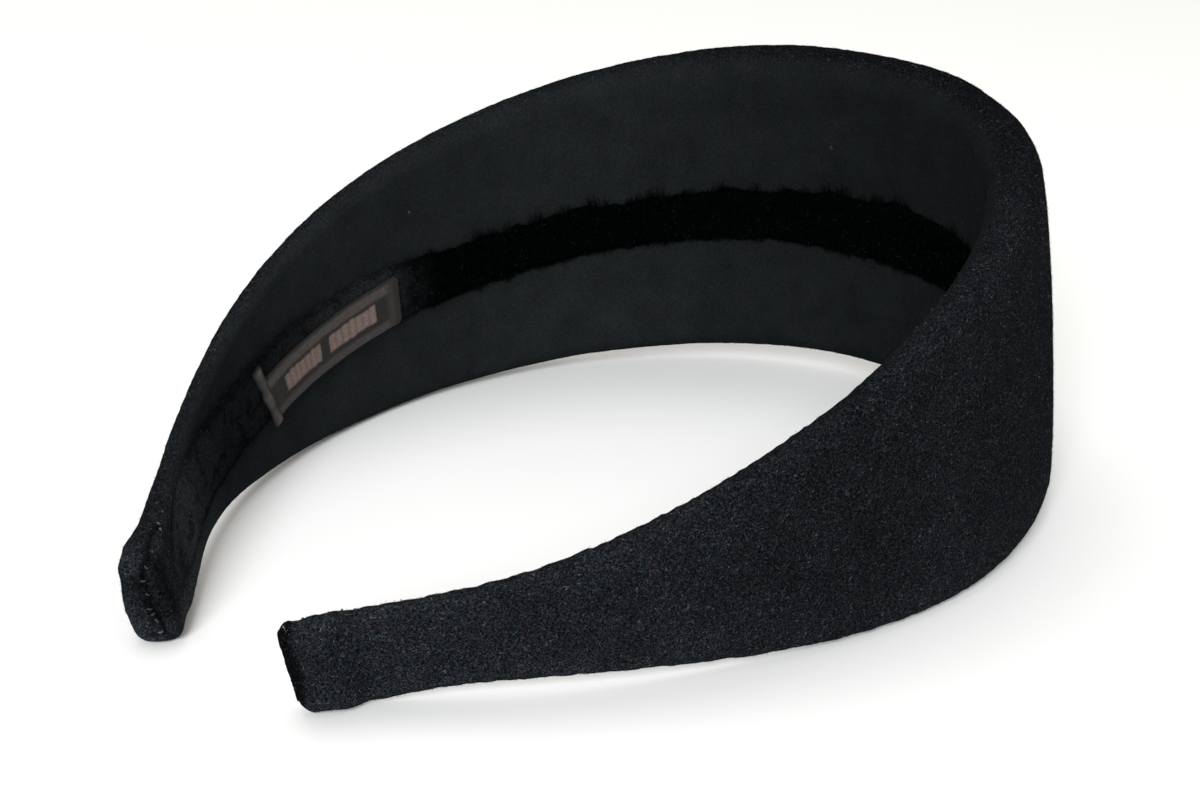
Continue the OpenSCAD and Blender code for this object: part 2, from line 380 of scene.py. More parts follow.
def ring_points(s, side):
    """Sections as arrays (stations, ring) of o, h and how far each point belongs to the inner face."""
    s, side = s[:, None], side[:, None]
    near, far = side < 0, side > 0
    t = np.clip((s - (HALF_LEN - END_ROUND)) / END_ROUND, 0, 1)
    inset = END_ROUND * (1 - np.sqrt(np.clip(1 - t * t, 0, 1)))
    mid = hem(s) / 2
    a = half_thick(s) + mid - inset * np.where(near, 0.5, 1.0)
    b_top = half_width(s) - inset * np.where(near, 0.45, 1.0)
    b_low = half_width(s) - inset
    r = np.minimum(a, b_low)
    up, low = b_top - r, b_low - r
    swell = DOME_H * column(WIDE, s)
    k = np.arange(ROLL_N + 1)[None, :] * math.pi / ROLL_N
    v = (2 * np.arange(1, FACE_N) / FACE_N - 1)[None, :]
    one = np.ones_like
    o = np.concatenate([mid + a * np.cos(k), (mid - a) * one(v),
                        mid - a * np.cos(k), mid + a + swell * (1 - v * v)], 1)
    h = np.concatenate([up + r * np.sin(k), (up * (1 - v) - low * (1 + v)) / 2,
                        -low - r * np.sin(k), (up * (1 + v) - low * (1 - v)) / 2], 1)
    inner = np.concatenate([ease(0.35, 0.9, k / math.pi) * one(s), one(s) * one(v),
                            ease(0.65, 0.1, k / math.pi) * one(s), 0 * s * v], 1)
    out = np.clip(1 - 2 * inner, 0, 1)
    # the turned-in felt is bulkier at the far tip, most of all at its lower end
    bulk = np.interp(s, [158, 165, 172, 178, 181.5, 183.5, 185.5, 187, 190],
                     [0, 0.25, 0.65, 1.05, 1.25, 0.8, 0.4, 0.4, 0.5])
    bulk = bulk + 1.1 * ease(181, 187, s) * ease(5.0, -1.5, h)
    o = o + out * np.where(far, bulk, 0.0)
    # at the near tip it swells earlier along the lower edge and dips before it on the upper one
    lower = np.interp(s, [171, 177, 180, 183, 186], [0, 0.35, 0.58, 0.5, 0]) * np.clip(-h / b_low, 0, 1)
    upper = np.interp(s, [170, 174, 181, 182.5, 184, 186.5, 188],
                      [0, -0.2, -0.2, 0.05, 0.4, 0.3, 0]) * np.clip(h / b_low, 0, 1)
    h = h + np.where(near, upper - lower, 0.0)
    return o, h, inner


STATION_N = 350
RIM_ANGLES = [18, 36, 54, 68, 80, 90]
arm_s = np.concatenate([np.linspace(0, HALF_LEN - END_ROUND, STATION_N),
                        HALF_LEN - END_ROUND + END_ROUND * np.sin(np.radians(RIM_ANGLES))])
both_s = np.concatenate([arm_s[:0:-1], arm_s])
both_side = np.concatenate([-np.ones(len(arm_s) - 1), np.ones(len(arm_s))])
ro, rh, rin = ring_points(both_s, both_side)


def end_rings(o, h, steps):
    """Rings that close an end from its last section towards its middle line."""
    mid = (o.max() + o.min()) / 2
    half = (o.max() - o.min()) / 2
    core = np.clip(h, h.min() + half, h.max() - half)
    return [mid + (o - mid) * f for f in steps], [core + (h - core) * f for f in steps]


STEPS = [0.93, 0.84, 0.74, 0.63, 0.52, 0.41, 0.30, 0.19, 0.09, 0.02]
near_o, near_h = end_rings(ro[0], rh[0], STEPS)
far_o, far_h = end_rings(ro[-1], rh[-1], STEPS)
ro = np.vstack([near_o[::-1], ro, far_o])
rh = np.vstack([near_h[::-1], rh, far_h])
both_ends = ((len(STEPS), len(STEPS)), (0, 0))
rin = np.pad(rin, both_ends, "edge")
in_end = np.pad(np.zeros(len(both_s)), both_ends[0], constant_values=1.0)[:, None]
both_side = np.pad(both_side, both_ends[0], "edge")
both_s = np.pad(both_s, both_ends[0], constant_values=HALF_LEN)

# where the turned-in felt meets the inner felt, from the upper edge down over the end: s, o, h
SEAM = np.array([
    [180.7, -0.95, 6.60], [183.3, -0.20, 6.80], [185.5, -0.20, 6.65], [188.2, -0.40, 6.40], [189.7, 0.20, 5.95],
    [190.0, 0.60, 4.85], [190.0, 0.73, 3.10], [190.0, 1.04, 1.10], [190.0, 1.15, -0.56], [190.0, 0.80, -1.80],
    [190.0, 0.65, -3.10], [190.0, 0.64, -5.00], [189.4, 0.40, -6.40]])
seam_at = np.linspace(0, len(SEAM) - 1, 120)
seam_line = np.stack([np.interp(seam_at, np.arange(len(SEAM)), SEAM[:, k]) for k in range(3)], -1)


def seam_gap(points, side):
    """How far each point lies from the seam of the tip on its side, in metres."""
    line = world(np.minimum(seam_line[:, 0], LAST_S), side, seam_line[:, 1], seam_line[:, 2])
    return np.sqrt(((points[..., None, :] - line) ** 2).sum(-1)).min(-1)


# the near tip is a little shorter, and what stands past an arm's end goes straight on
NEAR_SHORT, PROUD, MOST_PROUD = 0.5, 0.25, 0.24
s_at = both_s[:, None] - np.where(both_side[:, None] < 0, NEAR_SHORT * ease(178, 188, both_s[:, None]), 0.0)
s_at = np.minimum(s_at + in_end * PROUD, HALF_LEN + MOST_PROUD)
skin = world(np.minimum(s_at, LAST_S), both_side[:, None], ro, rh)
tip_dir = world(LAST_S, both_side, 0.0, 0.0) - world(HALF_LEN - 1.0, both_side, 0.0, 0.0)
skin = skin + tip_dir[:, None] * np.maximum(s_at - HALF_LEN, 0)[..., None]
n_st, n_ring = ro.shape
# each tip has a groove along its seam, and only beyond 176 mm can the skin be near it
GROOVE_W = GROOVE_DEEP = 0.00042
seam_d = np.full((n_st, n_ring), 1.0)
for side in (-1, 1):
    m = (both_side == side) & (both_s > 176)
    seam_d[m] = seam_gap(skin[m], side)
valley = np.exp(-(seam_d / GROOVE_W) ** 2)


def normals_of(g):
    """Outward normals of a grid of points whose rows close on themselves."""
    a = np.gradient(g, axis=0)
    b = np.roll(g, -1, axis=1) - np.roll(g, 1, axis=1)
    n = np.cross(b, a)
    n /= np.maximum(np.linalg.norm(n, axis=-1, keepdims=True), 1e-12)
    c = g.mean(axis=1, keepdims=True)
    return n if ((g - c) * n).sum() > 0 else -n


smooth = skin - normals_of(skin) * (GROOVE_DEEP * valley)[..., None]
noise_a, noise_b, noise_c = Noise(3), Noise(5), Noise(8)
# near the crown and on the near arm the open grain goes right over the upper roll
signed = both_s * both_side
calmed = rin + (ease(0.5, 1.0, rin) - rin) * ease(45, 10, signed)[:, None]
share = np.clip(rh / half_width(both_s)[:, None], -1, 1)
# the padding lies a little unevenly under the felt, and the felt's own face is rough,
# most of all towards the near arm's upper edge
before_tip = ease(HALF_LEN - 0.5, HALF_LEN - 12, both_s)[:, None]
soft = 0.00020 * noise_a(smooth / 0.016) + 0.00009 * noise_b(smooth / 0.0065)
on_near = (ease(80, 110, both_s) * (both_side < 0))[:, None]
grain_deep = 0.00007 + 0.00017 * on_near * np.clip(share, 0.3, 1)
rough = grain_deep * noise_c(smooth / 0.0009) * (1 - 0.75 * calmed)
relief = soft * np.clip(half_thick(both_s)[:, None] / 5, 0.25, 1) * (0.3 + 0.7 * before_tip) + rough


def moved_out(grid, by):
    """The grid moved along its normals, never under the floor, and its new normals."""
    grid = grid + normals_of(grid) * by[..., None]
    grid[..., 2] = np.maximum(grid[..., 2], 0.00002)
    return grid, normals_of(grid)


skin, skin_n = moved_out(smooth, relief)
felt = felt_material()


def settle(grid, free, frames, times=20.0):
    """How far each point of a coarse grid of the cover moves, as cloth blown up and held where it isn't free.

    The cloth is a copy of the grid, so many times larger."""
    n, m = grid.shape[:2]
    q = grid_faces(n, m, True)
    first = grid[n // 2, 0]
    turned = np.cross(grid[n // 2, 1] - first, grid[n // 2 + 1, 0] - first)
    if (normals_of(grid)[n // 2, 0] * turned).sum() < 0:
        q = q[:, ::-1]
    o = mesh_object("settling", grid.reshape(-1, 3) * times, q.ravel(), np.arange(len(q)) * 4, felt)
    group = o.vertex_groups.new(name="held")
    for i, w in enumerate(1 - free.ravel()):
        group.add([i], float(w), "REPLACE")
    c = o.modifiers.new("settle", "CLOTH")
    c.collision_settings.use_collision = False
    c.collision_settings.use_self_collision = False
    c = c.settings
    c.quality = 6
    c.mass = 0.1
    c.tension_stiffness = c.compression_stiffness = 8
    c.shear_stiffness = 4
    c.bending_stiffness = 0.3
    c.air_damping = 4
    c.use_pressure = True
    c.uniform_pressure_force = 4.0
    c.vertex_group_mass = "held"
    c.pin_stiffness = 8
    c.effector_weights.gravity = 0
    for f in range(1, frames + 1):
        bpy.context.scene.frame_set(f)
    ev = o.evaluated_get(bpy.context.evaluated_depsgraph_get())
    co = np.empty(n * m * 3, np.float32)
    ev.data.vertices.foreach_get("co", co)
    me = o.data
    bpy.data.objects.remove(o)
    bpy.data.meshes.remove(me)
    bpy.context.scene.frame_set(1)
    return co.reshape(n, m, 3).astype(float) / times - grid


# The padding: the cover starts up to SHRINK smaller and swells where there is foam, by CAP at most.
# Each SI-th station and SJ-th point of a ring is in the cloth
SI, SJ, CAP, SHRINK, FRAMES = 6, 4, 0.0008, 0.0004, 20
si = np.unique(np.append(np.arange(0, n_st, SI), n_st - 1))
coarse = smooth[si][:, ::SJ]
padded = (np.clip(half_thick(both_s) * 2 - TIP_T, 0, PAD_T - TIP_T) / (PAD_T - TIP_T)) ** 0.7
on_foam = 1 - 1.6 * rin[si][:, ::SJ]
free = padded[si][:, None] * np.clip(on_foam, 0, 1) * (0.8 + 0.2 * noise_b(coarse / 0.02))
coarse_n = normals_of(coarse)
shrink = SHRINK * np.clip(padded[si][:, None] ** 2 * on_foam, 0, 1)
moved = settle(coarse - coarse_n * shrink[..., None], free, FRAMES)
swell = CAP * np.tanh(np.maximum((moved * coarse_n).sum(-1), 0) / CAP) - shrink
swell = (np.roll(swell, 1, 1) + 2 * swell + np.roll(swell, -1, 1)) / 4
swell[1:-1] = (swell[:-2] + 2 * swell[1:-1] + swell[2:]) / 4
# the result goes over to the fine skin, from station to station and then round each ring
rows = np.stack([np.interp(np.arange(n_st), si, swell[:, j]) for j in range(swell.shape[1])], 1)
ring_at = np.arange(n_ring) / SJ
wrapped = np.concatenate([rows, rows[:, :1]], 1)
last = wrapped.shape[1] - 2
j0 = np.minimum(ring_at.astype(int), last)
part = ease(0, 1, np.clip((ring_at - j0) * np.where(j0 == last, SJ / (n_ring - SJ * last), 1), 0, 1))
skin, skin_n = moved_out(skin, wrapped[:, j0] * (1 - part) + wrapped[:, j0 + 1] * part)
cover = mesh_object("felt_cover", skin.reshape(-1, 3), *tube_faces(n_st, n_ring), felt)
attribute(cover, "inner", calmed * (1 - 0.85 * ease(160, 178, both_s))[:, None])
# painted light and shade: the outer face is lighter along the arms' lower edges and towards the near tip, darker
# towards the crown, on the far tip and along the crown's upper rim, and the far tip's end is lighter at its upper
# and lower edges than between
outer = np.interp(both_s, [0, 28, 45, 60, 85, 99, 113, 124, 140, 165, 182],
                  [0.71, 0.76, 0.82, 0.84, 0.82, 0.88, 0.79, 0.78, 1.00, 1.08, 1.20])
outer = outer * np.interp(signed, [150, 158, 172, 181, 186, 190], [1.0, 0.9, 0.65, 0.58, 0.85, 0.90])
outer = outer[:, None] * np.interp(share, [-1, -0.75, -0.5, -0.2, 0.35, 0.7, 1],
                                   [1.40, 1.14, 0.98, 0.91, 0.91, 0.97, 1.03])
outer = outer * (1 - 0.30 * ease(0.75, 1.0, share) * ease(75, 45, both_s)[:, None])
# painted light and shade across the far tip's end, by height
far_end_light_and_shade = np.interp(share, [-0.5, -0.1, 0.2, 0.5, 0.8, 1], [1.55, 1.4, 1.05, 0.70, 1.15, 1.45])
outer = outer * (1 + ease(184, 187, signed)[:, None] * (far_end_light_and_shade - 1))
# painted light and shade: the inner face gets lighter from the crown to the far tip, and darker again on its very
# end, and lighter towards its lower edge, most of all on the far tip
INSIDE = np.array([
    [-50, 0.92], [-24, 0.84], [0, 0.78], [14, 0.86], [30, 0.93], [45, 1.13], [60, 1.24], [90, 1.20], [115, 1.40],
    [140, 1.30], [160, 1.18], [178, 1.42], [182, 1.48], [185.5, 1.65], [187.5, 1.20], [188.8, 0.57], [189.7, 0.57],
    [190, 0.76]])
inside = np.interp(signed, *INSIDE.T)
low_edge = 0.1 * ease(-4, -8, rh) + 1.05 * ease(-1.5, -4.5, rh) * ease(148, 165, signed)[:, None]
tone = outer * (1 - calmed) + calmed * inside[:, None] * (1 + low_edge)
# painted shade: darker in the seams' grooves and over the tips' end faces, the far one more
tone = tone * (1 - 0.62 * valley) * (1 - in_end * np.where(both_side > 0, 0.36, 0.15)[:, None])
# painted shade: the near tip's outer face ends in a dark strip where it turns round the end
end_shade_at = np.interp(rh, [-6.5, -4.5, -3.5, 0, 3, 6, 6.7, 7],
                    [190.6, 189.4, 189.0, 188.5, 188.7, 188.7, 188.3, 188.0])
end_shade = ease(end_shade_at - 0.35, end_shade_at + 0.35, both_s[:, None] + in_end)
end_shade = end_shade * (both_side < 0)[:, None] * ease(7.25, 6.95, rh)
tone = tone * (1 - 0.78 * end_shade * (1 - 0.6 * rin))
# painted light: a paler line of felt along the label's lower side, lifting the shade under the label's edge, which
# shows faintly on the outer face too
painted_light_under_label = (ease(92, 97, signed) * ease(136, 131, signed))[:, None]
tone = tone * (1 + 0.55 * ease(-6.6, -5.4, rh) * ease(-4.0, -4.8, rh) * painted_light_under_label)
attribute(cover, "tone", tone)
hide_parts("felt_band")
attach(cover, "root")


# Loose fibres: thin bent strips that stand a little off the surface
def fibres(name, roots, normals, rng, length, width, rise, mat, shade, along=None):
    """Ranges of length and width in millimetres and of rise in degrees; along is the way they lean."""
    n = len(roots)
    t = rng.normal(size=(n, 3))
    if along is not None:
        t = t * 0.35 + along
    t -= (t * normals).sum(1, keepdims=True) * normals
    t /= np.linalg.norm(t, axis=1, keepdims=True)
    side = np.cross(normals, t)
    a = np.radians(rng.uniform(*rise, n))[:, None]
    ln = rng.uniform(*length, n)[:, None] * MM
    bend = rng.uniform(-0.35, 0.35, n)[:, None]
    d1 = t * np.cos(a) + normals * np.sin(a)
    d2 = t * np.cos(a * 0.4) + normals * np.sin(a * 0.4) + side * bend
    w = (rng.uniform(*width, n) * MM / 2)[:, None]
    spin = rng.uniform(0, math.pi, n)[:, None]
    wv = side * np.cos(spin) + normals * np.sin(spin)
    p0 = roots - normals * 0.00003
    p1 = p0 + d1 * ln * 0.5
    p2 = p1 + d2 * ln * 0.5
    v = np.stack([p0 - wv * w, p0 + wv * w, p1 - wv * w * 0.9, p1 + wv * w * 0.9, p2], 1)
    keep = v[..., 2].min(axis=1) > 0.00001
    v, shade = v[keep].reshape(-1, 3), shade[keep]
    n = len(shade)
    b = np.arange(n)[:, None] * 5
    loops = np.concatenate([(b + np.array([0, 1, 3, 2])).ravel(), (b + np.array([2, 3, 4])).ravel()])
    starts = np.concatenate([np.arange(n) * 4, n * 4 + np.arange(n) * 3])
    o = mesh_object(name, v, loops, starts, mat, smooth=False)
    attribute(o, "shade", np.repeat(shade, 5))
    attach(o, "root")


def scatter(grid, nrm, n, rng, weight):
    """Places and normals, spread evenly by weight over a grid whose rows close on themselves."""
    a, b = grid[:-1], grid[1:]
    a2, b2 = np.roll(a, -1, axis=1), np.roll(b, -1, axis=1)
    area = np.linalg.norm(np.cross(a2 - a, b - a), axis=-1) * weight[:-1]
    p = (area / area.sum()).ravel()
    i, j = np.unravel_index(rng.choice(len(p), size=n, p=p), area.shape)
    u, v = rng.random((n, 1)), rng.random((n, 1))
    pt = (a[i, j] * (1 - u) + b[i, j] * u) * (1 - v) + (a2[i, j] * (1 - u) + b2[i, j] * u) * v
    return pt, nrm[i, j]


rng = np.random.default_rng(17)
fuzz_mat = fibre_material("felt_fibres", (0.0035, 0.0042, 0.0052), (0.150, 0.162, 0.182))
calm_mat = fibre_material("felt_fibres_inside", (0.0045, 0.0054, 0.0060), (0.040, 0.045, 0.048))
outside = np.where(calmed < 0.5, 1.0, 0.0)
FUZZ_N, FUZZ_INSIDE_N = 60000, 42000
# power of the shade, length and rise: most fibres lie dark and low, the second lot stands up more
for i, (power, length, rise) in enumerate(((14.0, (0.2, 0.65), (5, 50)), (8.0, (0.18, 0.5), (15, 80)))):
    pt, nm = scatter(skin, skin_n, FUZZ_N, rng, outside)
    fibres(f"felt_fuzz_{i}", pt, nm, rng, length, (0.018, 0.036), rise, fuzz_mat, rng.random(FUZZ_N) ** power)
pt, nm = scatter(skin, skin_n, FUZZ_INSIDE_N, rng, 1 - outside)
fibres("felt_fuzz_inside", pt, nm, rng, (0.2, 0.6), (0.016, 0.030), (5, 60), calm_mat,
       rng.random(FUZZ_INSIDE_N) ** 2.5)

# The pile ribbon: a soft-edged strip with a dense pile. It runs from the near arm (s below 0) to the far
# one, and its edges wander: s and h of the upper and of the lower one
UP = np.array([
    [-183, 5.6], [-24, 5.6], [-12, 5.4], [0, 4.7], [6, 5.1], [12, 3.8], [18, 3.9], [24, 4.2], [40, 3.7], [60, 3.5],
    [84, 3.9], [90, 4.6], [94, 5.2], [99, 5.6], [120, 6.1], [132, 6.0], [140, 5.8], [148, 5.7], [156, 6.0],
    [165, 6.1], [174, 5.4], [180, 3.8], [183, 2.0]])
LOW = np.array([
    [-183, -4.4], [-24, -5.6], [-8, -5.9], [6, -5.8], [12, -5.5], [18, -5.1], [40, -5.0], [60, -4.8], [72, -5.0],
    [84, -5.0], [94, -4.7], [120, -4.5], [150, -4.2], [174, -3.6], [183, -2.0]])
rib_end = HALF_LEN - RIBBON_STOP
RIB_N = 366
rs = np.concatenate([-np.linspace(rib_end, 0.5, RIB_N), np.linspace(0, rib_end, RIB_N + 1)])
rs_abs, rs_side = np.abs(rs), np.where(rs < 0, -1.0, 1.0)
ragged = Noise(21)
edge_p = coords(rs / 3.1, 0, 0)
up_edge = np.interp(rs, *UP.T) + 0.30 * ragged(edge_p + 7) + 0.22 * ragged(edge_p * 2.6 + 3)
up_edge = up_edge + 1.3 * np.clip(ragged(edge_p * 0.62 + 53) - 0.12, 0, 1) * ease(78, 58, rs)
lo_edge = np.interp(rs, *LOW.T) + 0.22 * ragged(edge_p + 31) + 0.16 * ragged(edge_p * 2.6 + 17)
ACROSS = 24
v = np.linspace(0, 1, ACROSS)[None, :]
hh = lo_edge[:, None] * (1 - v) + up_edge[:, None] * v
crowned = np.sqrt(np.clip(1 - np.abs(2 * v - 1) ** 6, 0, 1))
# it is domed, and gets thin and flat towards the far tip
EDGE_T = 0.30
flat_end = ease(138, 160, rs)[:, None]
back = -half_thick(rs_abs)[:, None] - GAP * (1 - 0.8 * flat_end)
arch = np.sqrt(np.clip(4 * v * (1 - v), 0, 1))
thick = (EDGE_T + (RIBBON_T - EDGE_T) * crowned) * (1 - flat_end * (1 - arch))
thick = thick * (0.10 + 0.90 * ease(182, 152, rs))[:, None]
front = back - thick - 0.09 * noise_b(coords(rs[:, None] / 2.3, 4 * v, 0)) * crowned
face_g = world(rs_abs[:, None], rs_side[:, None], front, hh)
back_g = world(rs_abs[:, None], rs_side[:, None], back, hh)
rib = np.concatenate([face_g, back_g[:, ::-1]], 1)
ribbon = mesh_object("pile_ribbon", rib.reshape(-1, 3), *tube_faces(len(rs), 2 * ACROSS), velvet_material())
# painted sheen: the nap is pale beside the label and beyond it, less so along the edges
sheen_on_nap = np.interp(rs, [86, 92, 97, 112, 118, 133, 147, 152, 158, 162, 166, 171, 176, 180, 183],
                   [0, 0.16, 0.46, 0.46, 0.34, 0.26, 0.25, 0.32, 0.44, 0.56, 0.80, 0.98, 0.90, 0.70, 0.62])
at_edge = np.interp(rs, [86, 97, 112, 120, 155, 170], [0.3, 0.85, 0.8, 0.5, 0.5, 1.0])
vv = np.concatenate([v, v[:, ::-1]], 1)
border = ease(0.0, 0.22, np.minimum(vv, 1 - vv))
attribute(ribbon, "pile_sheen", sheen_on_nap[:, None] * (border + (1 - border) * at_edge[:, None]))
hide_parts("velvet_ribbon")
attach(ribbon, "root")

# its pile: short black fibres, splayed out past both edges
pile_mat = fibre_material("pile_fibres", (0.0002, 0.0003, 0.0003), (0.0440, 0.0500, 0.0520))
rib_n = normals_of(rib)[:, :ACROSS]
up_dir = world(rs_abs, rs_side, -half_thick(rs_abs), 1.0) - world(rs_abs, rs_side, -half_thick(rs_abs), 0.0)
up_dir /= np.linalg.norm(up_dir, axis=1, keepdims=True)
PILE_N, AT_EDGES, EDGE_PART = 50000, 0.55, 0.07
i = rng.integers(0, len(rs) - 1, PILE_N)
u = rng.random(PILE_N)
edge = rng.random(PILE_N) < AT_EDGES
at_low = rng.random(PILE_N) < 0.5
near_low, near_up = rng.random(PILE_N) * EDGE_PART, 1 - rng.random(PILE_N) * EDGE_PART
across = np.where(edge, np.where(at_low, near_low, near_up), rng.random(PILE_N))
j = np.minimum((across * (ACROSS - 1)).astype(int), ACROSS - 2)
w = (across * (ACROSS - 1) - j)[:, None]
pt = face_g[i, j] * (1 - w) + face_g[i, j + 1] * w
pt = pt + (face_g[i + 1, j] - face_g[i, j]) * u[:, None]
outward = up_dir[i] * np.where(across > 0.5, 1.0, -1.0)[:, None]
# tufts stand past both edges round the crown, twice as long past the upper one
tufts = np.clip(1.7 * ragged(edge_p * 1.9 + 61) + 0.35, 0, 1.3) * ease(98, 84, rs) * ease(-125, -95, rs)
longest = np.where(edge, 0.8 + 2.0 * tufts[i] * np.where(across > 0.5, 1.0, 0.5), 1.0)
pale = (0.11 * rng.random(PILE_N) ** 3 + 0.45 * rng.random(PILE_N) ** 14) * (1 - 0.6 * edge)
# the pile's fibres carry the painted sheen too, more so towards the far tip
pale = pale + sheen_on_nap[i] * (0.12 + 0.5 * rng.random(PILE_N) ** 2) * (1 + 0.9 * ease(160, 172, rs[i]))
fibres("ribbon_pile", pt, rib_n[i, j], rng, (0.4, longest), (0.03, 0.06), (5, 55), pile_mat, pale,
       along=outward * np.where(edge, 1.5, 0.2)[:, None])

# The label: a woven tape with pale edgings and two rows of plain bars, each row from s to s with its count
TAPE_R, TAPE_L, TAPE_H = 94.9, 132.2, 4.05
TAPE_AT = 106.5
BARS = [(101.0, 113.5, 7), (115.9, 127.2, 7)]


def tape_front(s):
    """Where the tape's back lies: o of the ribbon's face."""
    return -half_thick(s) - GAP - RIBBON_T - GAP


na, nc = 310, 64
s = np.linspace(TAPE_R, TAPE_L, na)[:, None]
c = np.linspace(-1, 1, nc)[None, :]
wob = Noise(33)
line = coords(s / 1.4, c * 6, 0)
hv = c * (TAPE_H + 0.10 * wob(line * 0.8 + 5))
# it sinks and narrows a little from its crown end to its slanted one
h = -0.58 - 0.019 * (s - TAPE_AT)
h = h + hv * (1.03 - 0.0036 * (s - TAPE_AT)) * (1 - 0.15 * ease(TAPE_R + 1.3, TAPE_R, s) ** 2)
# the turned-under end is slanted
slant = s + 0.37 * h * ease(122, TAPE_L, s)
fuzzy = 0.10 * wob(line * 2.3) + 0.06 * wob(line * 5.1 + 9)


def band(x, a, b, soft_by=0.14):
    """1 from a to b and 0 outside, with soft ends."""
    return ease(a - soft_by, a + soft_by, x) * ease(b + soft_by, b - soft_by, x)


long_lines = np.maximum(1.06 * band(hv + fuzzy, 1.95, 3.5, 0.35), 0.66 * band(hv + fuzzy, -4.0, -2.5, 0.3))
end_lines = 0.24 * np.maximum(band(s + fuzzy, 96.5, 98.0, 0.4), 0.4 * band(s + fuzzy, 129.4, 130.6))
edging = np.maximum(long_lines * ease(96.9, 98.6, s), end_lines * band(hv, -3.9, 3.7))
edging = np.maximum(edging, 0.03 * ease(96.6, 95.8, s))
bars = 0 * hv
for a, b, n in BARS:
    pitch = (b - a) / n
    for i in range(n):
        x0 = a + pitch * i
        tall = 0.12 * math.sin(4.7 * i + a)
        bar = band(s + fuzzy, x0 + 0.08, x0 + pitch - 0.30, 0.28)
        bars = np.maximum(bars, bar * band(hv + 0.1, -1.4 - tall, 1.45 + tall, 0.25))
    # loose weft floats between the bars of a row
    bars = np.maximum(bars, 0.80 * band(s + fuzzy, a, b) * band(hv + 0.1, -1.4, 1.35, 0.2))
# twice as thick where an end is turned under
THREAD_T = 0.16
thick = THREAD_T + THREAD_T * ease(TAPE_L - 4, TAPE_L - 1, s) + THREAD_T * ease(TAPE_R + 3, TAPE_R + 1, s)
rim = ease(0, 0.25, TAPE_H - np.abs(hv)) * np.minimum(ease(0, 0.4, s - TAPE_R), 1)
sag = 0.05 * wob(line * 0.25 + 3)
top = tape_front(s) - (thick + 0.05 * edging + 0.09 * bars) * rim - sag * 0.5 - 0.02
f, g = world(slant, 1, top, h), world(slant, 1, tape_front(s), h)
q = grid_faces(na, nc, False)
n = na * nc
at = np.arange(n).reshape(na, nc)
around = np.concatenate([at[:, 0], at[-1, 1:], at[-2::-1, -1], at[0, -2:0:-1]])
after = np.roll(around, -1)
sides = np.stack([around, after, after + n, around + n], -1)
loops = np.concatenate([q[:, ::-1].ravel(), (q + n).ravel(), sides.ravel()])
starts = np.arange(2 * len(q) + len(sides)) * 4
verts = np.concatenate([f.reshape(-1, 3), g.reshape(-1, 3)])
tape = mesh_object("woven_tape", verts, loops, starts, label_material())
# the thread's directions hold on both faces, the pale threads on the front alone
along = s - 114 + 0 * hv
for name, x, on_back in (("along", along, 1), ("across", hv, 1), ("edging", edging, 0), ("bars", bars, 0)):
    attribute(tape, name, np.concatenate([x.ravel(), on_back * x.ravel()]))
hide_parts("woven_label")
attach(tape, "root")


# Thread: a bent round strand through given points
def strand(points, radius, sides=6):
    p = np.array(points, float)
    d = np.gradient(p, axis=0)
    d /= np.linalg.norm(d, axis=1, keepdims=True)
    up = np.cross(d, [0.3, 0.5, 0.8])
    up /= np.linalg.norm(up, axis=1, keepdims=True)
    side = np.cross(d, up)
    r = np.broadcast_to(np.asarray(radius, float), (len(p),))[:, None, None]
    a = (np.arange(sides) * 2 * math.pi / sides)[None, :, None]
    return p[:, None] + r * (np.cos(a) * up[:, None] + np.sin(a) * side[:, None])


def strands(name, rings, mat, shade):
    """One mesh of several strands, each with its own shade."""
    verts, loops, starts, shades = [], [], [], []
    n_verts = n_loops = 0
    for ring, tone in zip(rings, shade):
        strand_loops, strand_starts = tube_faces(*ring.shape[:2])
        verts.append(ring.reshape(-1, 3))
        loops.append(strand_loops + n_verts)
        starts.append(strand_starts + n_loops)
        shades.append(np.full(len(verts[-1]), tone))
        n_verts += len(verts[-1])
        n_loops += len(strand_loops)
    o = mesh_object(name, np.concatenate(verts), np.concatenate(loops), np.concatenate(starts), mat)
    attribute(o, "shade", np.concatenate(shades))
    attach(o, "root")


# The slanted end where the tape is turned under: a soft roll of thread, whipped down. x runs along the
# roll and c across it
whip_mat = fibre_material("whip_threads", (0.010, 0.010, 0.010), (0.098, 0.090, 0.086))
x = np.linspace(-0.04, 1.04, 150)[:, None]
c = np.linspace(-1, 1, 26)[None, :]
FRAY, TURNS = 0.16, 27
frayed = FRAY * wob(coords(x * 9, 2 * c, 0))
knots = np.interp(x, [0, 0.12, 0.3, 0.5, 0.65, 0.8, 1], [0.6, 1, -0.6, 0.8, -0.5, 0.4, 0.9])
along_s = 131.1 + 3.7 * x + c * (1.16 + frayed + 0.16 * knots)
along_h = -5.7 + 10.6 * x - 0.25 * c
ridge = np.sin(2 * math.pi * (TURNS * x + 0.22 * c + 0.25 * wob(coords(x * 5, c, 4))))
dome = np.clip(1 - np.abs(c) ** 2.2, 0, 1) ** 0.6 * ease(-0.04, 0.03, x) * ease(1.04, 0.97, x)
front = tape_front(along_s) - 0.03 - 0.52 * dome - 0.035 * ridge * dome
under = world(along_s, 1, tape_front(along_s) + 0.02, along_h)
whip_grid = np.concatenate([world(along_s, 1, front, along_h), under[:, ::-1]], 1)
whip = mesh_object("tape_whip", whip_grid.reshape(-1, 3), *tube_faces(*whip_grid.shape[:2]), whip_mat)
patches = np.interp(x, [-0.04, 0.12, 0.3, 0.52, 0.7, 0.88, 1.04], [0.85, 1.0, 0.72, 1.06, 0.68, 0.85, 1.1])
# painted light and shade: the roll is lightest along its crown and on the ridges of its turns, darker towards its
# sides
lit = np.clip(dome, 0, 1) ** 1.6 * (0.66 + 0.16 * ridge + 0.18 * frayed / FRAY) * patches
lit = lit * (1 + 0.2 * wob(coords(x * 13, 0, 2)))
attribute(whip, "shade", np.clip(np.concatenate([lit, 0 * lit], 1), 0, 1))
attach(whip, "root")

